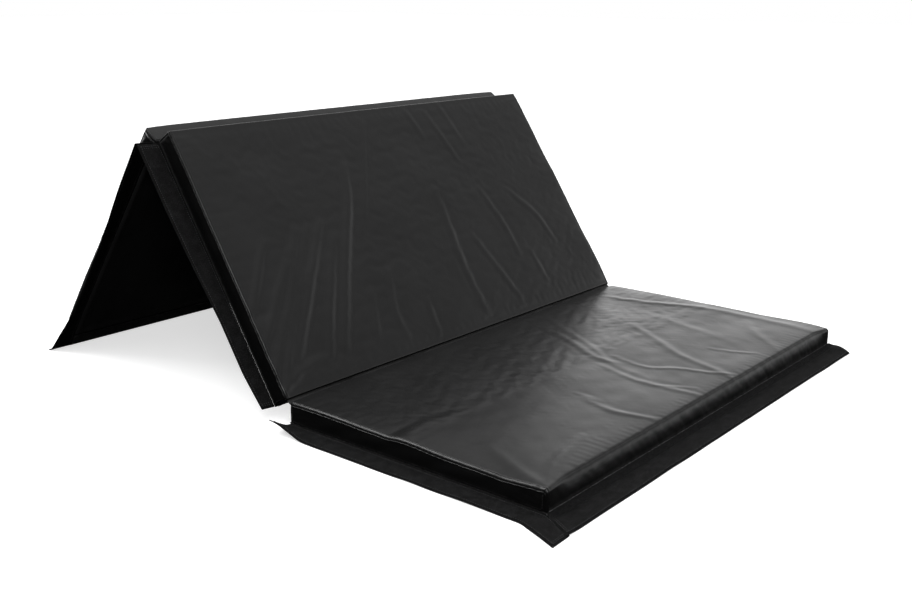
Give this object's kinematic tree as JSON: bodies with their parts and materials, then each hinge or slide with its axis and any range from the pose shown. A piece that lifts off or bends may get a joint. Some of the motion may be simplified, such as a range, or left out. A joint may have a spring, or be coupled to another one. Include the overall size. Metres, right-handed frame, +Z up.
{
  "type": "folding gym mat",
  "caption": "Folding gym mat: thick vinyl-covered foam panels on fabric folds, with hook-and-loop flaps for joining mats.",
  "frame": {"origin": "centre of the front panel's underside, on the floor", "axes": "+X along the fold lines towards the edges without side flaps, +Y from the front panel towards the raised panels, +Z up"},
  "size_m": [1.3023, 1.4468, 0.5515],
  "materials": {
    "cover_vinyl": "satin black coated fabric, fine grain",
    "underside_vinyl": "matt black coated fabric",
    "flap_webbing": "matt black coated fabric, hemmed",
    "loop_tape": "matt brushed loop",
    "hook_tape": "matt moulded hooks",
    "foam": "closed-cell foam"
  },
  "bodies": {
    "front_panel": {"front_foam_core": "foam", "front_top_sheet": "cover_vinyl", "front_left_gusset": "cover_vinyl", "front_right_gusset": "cover_vinyl", "front_underside_sheet": "underside_vinyl", "front_underside_hook_tape": "hook_tape", "front_side_flap": "flap_webbing", "front_side_loop_tape": "loop_tape", "front_end_flap": "flap_webbing", "front_end_loop_tape": "loop_tape", "front_fold_strip": "cover_vinyl"},
    "middle_panel": {"middle_foam_core": "foam", "middle_top_sheet": "cover_vinyl", "middle_left_gusset": "cover_vinyl", "middle_right_gusset": "cover_vinyl", "middle_underside_sheet": "underside_vinyl", "middle_underside_hook_tape": "hook_tape", "middle_side_flap": "flap_webbing", "middle_side_loop_tape": "loop_tape", "rear_fold_strip": "underside_vinyl"},
    "rear_panel": {"rear_foam_core": "foam", "rear_top_sheet": "cover_vinyl", "rear_left_gusset": "cover_vinyl", "rear_right_gusset": "cover_vinyl", "rear_underside_sheet": "underside_vinyl", "rear_underside_hook_tape": "hook_tape", "rear_side_flap": "flap_webbing", "rear_side_loop_tape": "loop_tape", "rear_end_flap": "flap_webbing", "rear_end_hook_tape": "hook_tape"}
  },
  "joints": [
    {"name": "front_fold", "type": "hinge", "parent": "front_panel", "child": "middle_panel", "pos_m": [0, 0.305, 0.0504], "axis": [1, 0, 0], "range_deg": [-56, 124], "deforming": ["front_fold_strip"]},
    {"name": "rear_fold", "type": "hinge", "parent": "middle_panel", "child": "rear_panel", "pos_m": [0, 0.68822, 0.52771], "axis": [1, 0, 0], "range_deg": [-69.2, 110.8], "deforming": ["rear_fold_strip"]}
  ]
}
